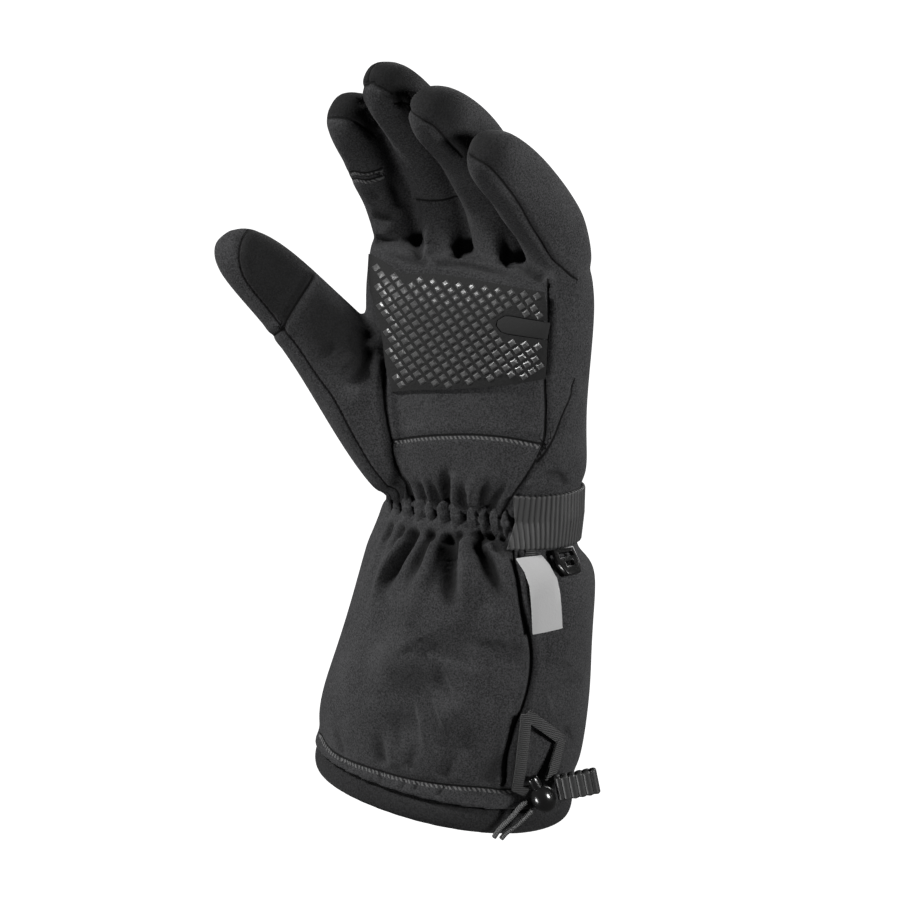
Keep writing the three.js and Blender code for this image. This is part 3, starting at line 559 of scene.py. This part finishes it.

# The thumb's pad and the fingertips are cut from a smoother and darker fabric, and the thumb's web
# between thumb and palm gets painted shade. The ring and little fingers' tips and the thumb's web have
# no seam to end at, so their edges fade.
ring_tip_patch = [
    (410, 112), (406, 96), (418, 80), (444, 84), (462, 96), (464, 118), (456, 150), (437, 131),
    (424, 121),
]
little_tip_patch = [
    (466, 157), (463, 140), (476, 124), (494, 128), (506, 150), (508, 182), (491, 169), (473, 157),
]
# The thumb's web between thumb and palm, where painted shade stands in for its shadow
thumb_web_painted_shade = [
    (316, 282), (342, 306), (372, 322), (384, 334), (384, 358), (372, 382), (344, 372), (322, 366),
    (292, 324),
]
thumb_pad_patch = [
    (243, 236), (250, 226), (275, 230), (318, 270), (312, 279), (286, 325), (270, 312), (256, 295),
    (244, 278), (239, 262),
]
index_tip_patch = [
    (322, 92), (340, 84), (364, 88), (374, 136), (356, 122), (342, 118), (327, 118), (320, 110),
]
middle_tip_patch = [
    (358, 85), (364, 62), (385, 54), (410, 60), (424, 78), (410, 92), (402, 102), (386, 90),
    (370, 84),
]
fading_patches_and_web_shade = [ring_tip_patch, little_tip_patch, thumb_web_painted_shade]
sewn_patches = [thumb_pad_patch, index_tip_patch, middle_tip_patch]
fading_tone = 0.75
fading_rounds = 30
sewn_tone = 0.8
sewn_rounds = 2
patch_and_shade_back = 0.025
patch_and_shade_low_pixel = 390
own_share = 0.4
neighbour_share = 0.6
edge_ends = np.empty(len(hand.data.edges) * 2, int)
hand.data.edges.foreach_get("vertices", edge_ends)
one_end, other_end = edge_ends.reshape(-1, 2).T
point_count = len(hand.data.vertices)
neighbours = np.bincount(edge_ends, minlength=point_count)
patch_and_shade_tone = np.zeros(point_count)
for outlines, tone, rounds in (
    (fading_patches_and_web_shade, fading_tone, fading_rounds), (sewn_patches, sewn_tone, sewn_rounds),
):
    for number, point in enumerate(points_of(hand.data)):
        seen = camera.rotation_quaternion.inverted() @ (Vector(point) - camera.location)
        if seen.z < -camera_distance - patch_and_shade_back:
            continue
        u = (0.5 + seen.x / -seen.z * camera_lens / sensor_side) * photo_side
        v = (0.5 - seen.y / -seen.z * camera_lens / sensor_side) * photo_side
        if v < patch_and_shade_low_pixel and any(inside(outline, u, v) for outline in outlines):
            patch_and_shade_tone[number] = tone
    for _ in range(rounds):
        total = np.bincount(one_end, patch_and_shade_tone[other_end], point_count)
        total += np.bincount(other_end, patch_and_shade_tone[one_end], point_count)
        patch_and_shade_tone = own_share * patch_and_shade_tone + neighbour_share * total / neighbours
hand_patch_and_shade = hand.data.attributes.new("patch_and_painted_shade", "FLOAT", "POINT")
hand_patch_and_shade.data.foreach_set("value", patch_and_shade_tone.astype(np.float32))
hand.data.materials.append(softshell)

# Cuff
# The same fabric, cut as a flared tube and sewn to the hand. Elastic at the wrist gathers it on the
# palm's side, a stitched band ends it, and a second layer shows below the band.
cuff_cell = 1.0 * MM
cuff_swell = 0.2 * MM
cuff_rounds = 5
cuff = soft_skin("sewn_cuff", ["gauntlet"], cuff_cell, cuff_swell, cuff_rounds)
cuff_tree = tree_of(cuff.data)
cuff_outer_seam = [
    (514, 545), (517, 575), (521, 605), (527, 630), (531, 650), (531, 670), (528, 690), (522, 710),
    (514, 730), (508, 755), (505, 783),
]
hem_band_seam = [
    (321, 735), (330, 749), (345, 759), (370, 768), (400, 777), (430, 783), (470, 787), (500, 789),
    (530, 786),
]
cuff_folds_seen = [
    ([(391, 520), (387, 532), (380, 550)], 1.8, 1.8),
    ([(402, 522), (395, 538), (384, 562)], 2.2, 2.0),
    ([(415, 524), (406, 544), (392, 570), (376, 606)], 3.8, 3.0),
    ([(433, 526), (425, 544), (414, 570), (406, 596)], 2.8, 2.3),
    ([(445, 532), (447, 556), (449, 584), (452, 620)], 3.6, 3.6),
    ([(460, 530), (455, 546), (451, 570)], 2.2, 2.0),
    ([(473, 530), (481, 552), (492, 576), (506, 612)], 4.0, 3.2),
    ([(488, 531), (496, 548), (508, 570)], 2.4, 2.0),
    ([(501, 534), (508, 548), (514, 566)], 1.6, 1.8),
    ([(465, 534), (466, 556), (468, 590), (474, 626)], -2.8, 3.8),
    ([(434, 536), (428, 560), (422, 592), (418, 630)], -2.6, 4.2),
    ([(403, 534), (394, 552), (380, 580), (368, 612)], -2.0, 3.4),
    ([(486, 540), (498, 562), (510, 590)], -1.8, 3.0),
    ([(430, 644), (420, 616), (410, 592), (400, 572)], -2.6, 11.0),
    ([(424, 650), (404, 658), (382, 664), (362, 668)], -2.2, 9.0),
    ([(452, 680), (430, 690), (404, 700), (376, 706)], 2.0, 9.0),
    ([(460, 668), (468, 640), (476, 612)], 1.6, 9.0),
    ([(500, 640), (494, 690), (484, 740)], 2.0, 9.0),
    ([(436, 716), (458, 708), (484, 702)], -2.4, 6.5),
    ([(420, 728), (398, 730), (372, 732)], 2.0, 7.0),
    ([(440, 756), (458, 744), (482, 730)], 1.3, 5.0),
    ([(383, 766), (380, 748), (374, 728)], 1.1, 3.0),
    ([(394, 768), (390, 745), (384, 715)], -0.9, 3.0),
    ([(409, 770), (413, 752), (420, 738)], 0.7, 2.4),
    ([(442, 780), (450, 764), (464, 748)], 1.0, 3.0),
    ([(484, 784), (496, 764), (508, 744)], 1.2, 3.4),
    ([(343, 755), (338, 738), (336, 724)], 0.8, 2.6),
    ([(556, 664), (564, 636), (572, 606)], -1.2, 5.0),
    ([(548, 700), (566, 690), (584, 676)], 1.4, 4.5),
    ([(544, 580), (556, 610), (566, 640)], 1.0, 5.0),
    ([(570, 730), (560, 744), (548, 750)], 1.2, 4.0),
    ([(339, 757), (333, 771)], 0.9, 0.9),
    ([(381, 772), (375, 793)], 0.9, 0.9),
    ([(405, 779), (404, 799)], 0.8, 0.9),
    ([(419, 782), (416, 801)], 0.8, 0.9),
    ([(445, 785), (441, 803)], 0.8, 0.9),
]
photo_cuff_seams = [(cuff_outer_seam, 2.0, 0), (hem_band_seam, 0.7, 2)]
cuff_seam_width = 1.3 * MM
cuff_seams = [
    (photo_line(cuff_tree, pixels), depth * MM, cuff_seam_width, kind)
    for pixels, depth, kind in photo_cuff_seams
]
fold_strength = 1.4
cuff_folds = [
    (photo_line(cuff_tree, pixels), depth * fold_strength * MM, width * MM)
    for pixels, depth, width in cuff_folds_seen
]
sew_and_fold(cuff, cuff_seams, cuff_folds)
cuff.data.materials.append(softshell)

# The second layer below the band is painted darker all over, as painted shade under the band
under_band_shade = 0.5
hem = soft_skin("sewn_hem", ["inner_cuff"], cuff_cell, cuff_swell, cuff_rounds)
sew_and_fold(hem, [], [])
under_band_shade_tone = np.full(len(hem.data.vertices), under_band_shade, np.float32)
hem.data.attributes.new("patch_and_painted_shade", "FLOAT", "POINT").data.foreach_set("value", under_band_shade_tone)
hem.data.materials.append(softshell)

# Wrist gathers
# Elastic sewn inside the wrist draws the palm's side into a row of small puckers, with pinches
# between them that the pleats above and below run into.
pucker_drop = 6
pucker_lift = 2.4
pucker_sunk = 0.7
pucker_slant = 0.2
palm_lean = 1.3
pucker_cell = 0.45 * MM
pucker_rounds = 3
# Each bulge of a pucker: how high it sits, how thick it is and half its height, in millimetres
pucker_bulges = ((0, 1.7, 2.6), (1.6, 1.2, 4.4), (-1.8, 1.2, 4.6))
# Each pucker's pixel in the photograph, and half its width in millimetres
pucker_places = [
    (388, 503, 2.3), (396, 506, 2.2), (407, 509, 3.0), (421, 512, 3.2), (431, 514, 2.2), (445, 515, 3.2),
    (459, 518, 3.4), (475, 520, 3.0), (486, 521, 2.6), (498, 522, 3.2), (509, 524, 2.8),
]
puckers = bmesh.new()
for u, v, half_width in pucker_places:
    start, way = photo_ray(u, v + pucker_drop)
    hit = cuff_tree.ray_cast(start, way)[0] or cuff_tree.find_nearest(start + way * camera_distance)[0]
    hit += Vector((0, 0, pucker_lift * MM))
    outward = Vector((hit.x, hit.y * palm_lean, 0)).normalized()
    sideways = outward.cross(Vector((0, 0, 1)))
    turn = Matrix((sideways, outward, Vector((0, 0, 1)))).transposed().to_4x4()
    for lift, thick, height in pucker_bulges:
        middle = hit - outward * pucker_sunk * MM + Vector((0, 0, lift * MM))
        middle = middle + sideways * pucker_slant * lift * MM
        stretch = Matrix.Diagonal((half_width * MM, thick * MM, height * MM, 1))
        bmesh.ops.create_icosphere(
            puckers, subdivisions=3, radius=1, matrix=Matrix.Translation(middle) @ turn @ stretch,
        )
pucker_mesh = bpy.data.meshes.new("wrist_gathers")
puckers.to_mesh(pucker_mesh)
puckers.free()
gathers = new_piece("wrist_gathers", pucker_mesh, "softshell")
joined_puckers = gathers.modifiers.new("joined", "REMESH")
joined_puckers.mode = "VOXEL"
joined_puckers.voxel_size = pucker_cell
even_puckers = gathers.modifiers.new("even", "SMOOTH")
even_puckers.iterations = pucker_rounds
settle(gathers)
gathers.data.shade_smooth()
sew_and_fold(gathers, [], [])
gathers.data.materials.append(softshell)

# Palm grip
# A panel of the same fabric with rows of small glossy rubber lozenges printed on it, sewn over the
# palm below the fingers.
flat_angle = 0.01
edge_angle = 0.6
sharp_angle = 0.7


def dressed(name, node, slot, paint, bevel=0.15 * MM, rounds=0, body="glove"):
    """A copy of a node's solid with its edges rounded, which takes the node's place."""
    solid = merged_copy(node)
    bmesh.ops.dissolve_limit(solid, angle_limit=flat_angle, verts=solid.verts, edges=solid.edges)
    mesh = bpy.data.meshes.new(name)
    solid.to_mesh(mesh)
    solid.free()
    piece = new_piece(name, mesh, slot, node, body=body)
    edge = piece.modifiers.new("edge", "BEVEL")
    edge.width = bevel
    edge.segments = 2
    edge.angle_limit = edge_angle
    if rounds:
        finer = piece.modifiers.new("finer", "SUBSURF")
        finer.levels = finer.render_levels = rounds
    settle(piece)
    piece.data.shade_smooth()
    piece.data.set_sharp_from_angle(angle=sharp_angle)
    piece.data.materials.append(paint)
    return piece


def plain_paint(name, shade, roughness, grain=0.0, grain_size=1000.0, specular=0.5):
    """One dark finish with a fine grain."""
    paint, tree, shader = new_paint(name, roughness, specular=specular)
    shader.inputs["Base Color"].default_value = (shade, shade, shade, 1)
    if grain:
        place = add_node(tree, "TexCoord").outputs["Object"]
        rough = add_node(tree, "TexNoise", {"Vector": place, "Scale": grain_size, "Detail": 3.0}.items())
        bump = add_node(
            tree, "Bump",
            {"Height": result(tree, "MULTIPLY", rough.outputs[0], grain), "Distance": 1.0}.items(),
        )
        tree.links.new(bump.outputs[0], shader.inputs["Normal"])
    return paint


grip_cloth = plain_paint("grip_cloth", 0.007, 0.85, 0.4 * MM, 900.0, specular=0.12)
grip = dressed("grip_panel", "palm_grip", "grip", grip_cloth)
grip_tree = tree_of(grip.data)
grip_outline = [
    (371, 257), (392, 259), (405, 262), (430, 267), (462, 267), (480, 271), (505, 278), (525, 285),
    (546, 293), (543, 375), (520, 378), (480, 382), (440, 386), (394, 389), (389, 360), (378, 318),
    (372, 290),
]
grip_tab_outline = [(497, 313), (552, 318), (552, 340), (497, 334)]
lozenge_middle = (450, 322)
lozenge_step = (-8.0, 5.2)
lozenge_next = (5.0, 7.0)
lozenge_rows = range(-60, 61)
lozenge_share = 0.74
lozenge_top_share = 0.5
lozenge_height = 0.55 * MM
lozenge_sunk = 0.1
lozenges = bmesh.new()
for row_number in lozenge_rows:
    for place_number in lozenge_rows:
        u = lozenge_middle[0] + lozenge_step[0] * row_number + lozenge_next[0] * place_number
        v = lozenge_middle[1] + lozenge_step[1] * row_number + lozenge_next[1] * place_number
        if not inside(grip_outline, u, v) or inside(grip_tab_outline, u, v):
            continue
        corners = []
        for first, second in ((1, 1), (-1, 1), (-1, -1), (1, -1)):
            spread = 0.5 * lozenge_share
            start, way = photo_ray(
                u + spread * (first * lozenge_step[0] + second * lozenge_next[0]),
                v + spread * (first * lozenge_step[1] + second * lozenge_next[1]),
            )
            hit, facing, _, _ = grip_tree.ray_cast(start, way)
            if hit is not None:
                corners.append((hit, facing))
        if len(corners) < 4:
            continue
        middle = sum((hit for hit, _ in corners), Vector()) / 4
        facing = sum((normal for _, normal in corners), Vector()).normalized()
        low = [lozenges.verts.new(hit - facing * lozenge_sunk * MM) for hit, _ in corners]
        top = [
            lozenges.verts.new(middle + (hit - middle) * lozenge_top_share + facing * lozenge_height)
            for hit, _ in corners
        ]
        lozenges.faces.new(top)
        for k in range(4):
            lozenges.faces.new((low[k], low[(k + 1) % 4], top[(k + 1) % 4], top[k]))
bmesh.ops.recalc_face_normals(lozenges, faces=lozenges.faces)
lozenge_mesh = bpy.data.meshes.new("grip_lozenges")
lozenges.to_mesh(lozenge_mesh)
lozenges.free()
grip_lozenges = new_piece("grip_lozenges", lozenge_mesh, "grip")
grip_lozenges.data.materials.append(plain_paint("grip_rubber", 0.022, 0.42, 0.25 * MM, 700.0))

# Palm tab
# A small round-ended tongue of smooth fabric, sewn flat over the grip at the little finger's side.
tab_cloth = plain_paint("tab_cloth", 0.01, 0.8, 0.15 * MM, 900.0, specular=0.12)
dressed("palm_tongue", "palm_tab", "grip", tab_cloth, bevel=0.2 * MM)

# Wrist strap
# Ribbed webbing that runs flat round the little finger's side of the wrist, with its ends sewn in.
strap_pitch = 1.45
strap_grain = 0.12 * MM
strap_cell = 0.4 * MM
strap_rib = 0.25 * MM
fuzz_share = 0.25


def webbing_paint(name, pitch, depth, furrow_painted_shade=0.003, crest_painted_highlight=0.026, roughness=0.6):
    """Woven tape with ribs across its run, which is kept in millimetres."""
    paint, tree, shader = new_paint(name, roughness, specular=0.2)
    run = add_node(tree, "Attribute", attribute_name="rib_run").outputs["Fac"]
    wave = result(tree, "ABSOLUTE", result(tree, "SINE", result(tree, "MULTIPLY", run, math.pi / pitch)))
    place = add_node(tree, "TexCoord").outputs["Object"]
    fuzz = add_node(tree, "TexNoise", {"Vector": place, "Scale": 1200.0, "Detail": 3.0}.items()).outputs[0]
    wave_high = result(tree, "ADD", result(tree, "MULTIPLY", fuzz, fuzz_share), wave)
    # The ribs' crests are painted lighter as a highlight, and the furrows darker as painted shade
    furrow_shade_colour = (furrow_painted_shade, furrow_painted_shade, furrow_painted_shade, 1)
    crest_highlight_colour = (crest_painted_highlight, crest_painted_highlight, crest_painted_highlight, 1)
    shades = {"Factor": wave, 6: furrow_shade_colour, 7: crest_highlight_colour}
    mixed = add_node(tree, "Mix", shades.items(), data_type="RGBA")
    tree.links.new(mixed.outputs[2], shader.inputs["Base Color"])
    height = result(tree, "MULTIPLY", wave_high, depth)
    bump = add_node(tree, "Bump", {"Height": height, "Distance": 1.0}.items())
    tree.links.new(bump.outputs[0], shader.inputs["Normal"])
    return paint


def mark_run(piece, run):
    """Keeps how far along its run each point of a piece is, in millimetres."""
    kept_run = piece.data.attributes.new("rib_run", "FLOAT", "POINT")
    kept_run.data.foreach_set("value", (run / MM).astype(np.float32))


def long_way(points):
    """How far each point is along the points' longest direction."""
    centred = points - points.mean(0)
    return centred @ np.linalg.svd(centred, full_matrices=False)[2][0]


def round_way(points):
    """How far round the wrist each point is."""
    return np.arctan2(points[:, 1], points[:, 0]) * np.linalg.norm(points[:, :2], axis=1).mean()


def ribbed(piece, cell, way, pitch, depth):
    """Gives a piece a fine skin, and raises ribs on it that lie across its run."""
    paint = piece.data.materials[0]
    remesh = piece.modifiers.new("remesh", "REMESH")
    remesh.mode = "VOXEL"
    remesh.voxel_size = cell
    settle(piece)
    points = points_of(piece.data)
    facings = np.empty(points.size)
    piece.data.vertices.foreach_get("normal", facings)
    run = way(points)
    height = depth * np.abs(np.sin(run / MM * math.pi / pitch))
    put_points(piece.data, points + facings.reshape(-1, 3) * height[:, None])
    mark_run(piece, run)
    piece.data.materials.clear()
    piece.data.materials.append(paint)
    piece.data.shade_smooth()


strap_webbing = webbing_paint("webbing", strap_pitch, strap_grain)
strap = dressed("wrist_webbing", "wrist_strap", "webbing", strap_webbing)
ribbed(strap, strap_cell, round_way, strap_pitch, strap_rib)

# Clip loop, clip and label
# A narrow tape under the strap carries a moulded clip. The white sewn-in label beside it is bare.
tape = webbing_paint("narrow_tape", 0.85, 0.2 * MM)
loop = dressed("clip_tape", "clip_loop", "webbing", tape)
mark_run(loop, points_of(loop.data)[:, 2])
moulding = plain_paint("moulding", 0.004, 0.22, 0.02 * MM, 500.0, specular=0.4)
dressed("moulded_clip", "glove_clip", "moulding", moulding, bevel=0.3 * MM)
label_cloth = plain_paint("label_cloth", 0.2, 0.7, 0.1 * MM, 1100.0, specular=0.3)
label = dressed("white_label", "label", "label", label_cloth, bevel=0.05 * MM)

# Tether, cord lock and pull tab
# A folded narrow tape holds a ball cord lock on the elastic drawcord at the hem. Its sprung button
# lets the cord go, and a ribbed rubber tab gives the fingers a hold.
tether = dressed("tether_loop", "tether_tape", "webbing", tape)
mark_run(tether, long_way(points_of(tether.data)))
dressed("lock_ball", "cord_lock_body", "moulding", moulding, bevel=0.3 * MM, rounds=1)
dressed(
    "lock_plunger", "cord_lock_plunger", "moulding", moulding, bevel=0.3 * MM, rounds=1, body="lock_button",
)
tab_pitch = 3.0
tab_grain = 0.15 * MM
tab_cell = 0.3 * MM
tab_rib = 0.4 * MM
tab_ribs = webbing_paint("tab_ribs", tab_pitch, tab_grain, 0.002, 0.02, roughness=0.4)
pull = dressed("ribbed_pull_tab", "pull_tab", "tab_rubber", tab_ribs, bevel=0.3 * MM)
ribbed(pull, tab_cell, long_way, tab_pitch, tab_rib)

# Drawcords
# Two short strands of round elastic cord, each held by the lock and by the hem.
braid_pitch = 1.1
braid_grain = 0.25 * MM
braid_lean = 0.6
cord_braid = webbing_paint("cord_braid", braid_pitch, braid_grain, 0.01, 0.05, roughness=0.5)
for strand_name in ("drawcord_front", "drawcord_rear"):
    strand = dressed(strand_name + "_braid", strand_name, "cord", cord_braid, bevel=0.05 * MM, rounds=1)
    strand_points = points_of(strand.data)
    mark_run(strand, long_way(strand_points) + braid_lean * strand_points[:, 0])
